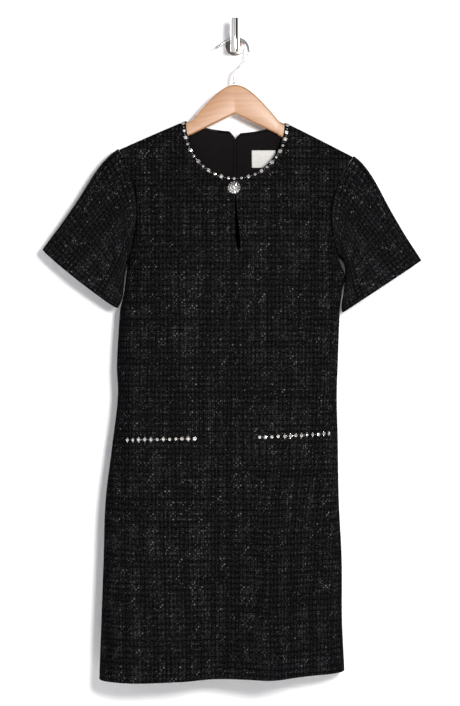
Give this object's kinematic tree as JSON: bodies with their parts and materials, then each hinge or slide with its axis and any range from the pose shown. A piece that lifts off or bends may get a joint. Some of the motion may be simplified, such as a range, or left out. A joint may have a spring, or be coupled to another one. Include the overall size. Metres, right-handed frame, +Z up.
{
  "type": "shift dress on a clothes hanger and wall hook",
  "caption": "Short-sleeved tweed shift dress with stone-set neck, keyhole slit and pocket bands, hanging from a wooden hanger on a wall hook.",
  "frame": {"origin": "centre of the wall hook's flange, on its back face, which lies on the wall", "axes": "+Z up, along the dress; +Y into the wall, so the front of the dress faces -Y; +X to the right as seen from the front"},
  "size_m": [0.6151, 0.1419, 1.0691],
  "materials": {
    "tweed": "black tweed with fine bright threads",
    "facing": "plain black facing",
    "tape": "woven black tape",
    "label": "blank cream satin",
    "stones": "set clear stones",
    "button": "domed cluster of clear stones",
    "zip_metal": "polished",
    "wire": "polished",
    "wall_metal": "polished",
    "wood": "clear lacquer"
  },
  "bodies": {
    "dress": {"front": "tweed", "back_left": "tweed", "back_right": "tweed", "sleeve_left": "tweed", "sleeve_right": "tweed", "back_facing_left": "facing", "back_facing_right": "facing", "label": "label", "neck_trim_left": "stones", "neck_trim_right": "stones", "pocket_trim_left": "stones", "pocket_trim_right": "stones", "button": "button", "zip_tape": "tape", "zip_slider": "zip_metal", "hanger": "wood", "hanger_hook": "wire", "wall_flange": "wall_metal", "wall_bar": "wall_metal"},
    "zip_pull": {"zip_pull": "zip_metal"}
  },
  "joints": [
    {"name": "zip_pull_hinge", "type": "hinge", "parent": "dress", "child": "zip_pull", "pos_m": [0, -0.0243, -0.16], "axis": [1, 0, 0], "range_deg": [0, 150]}
  ]
}
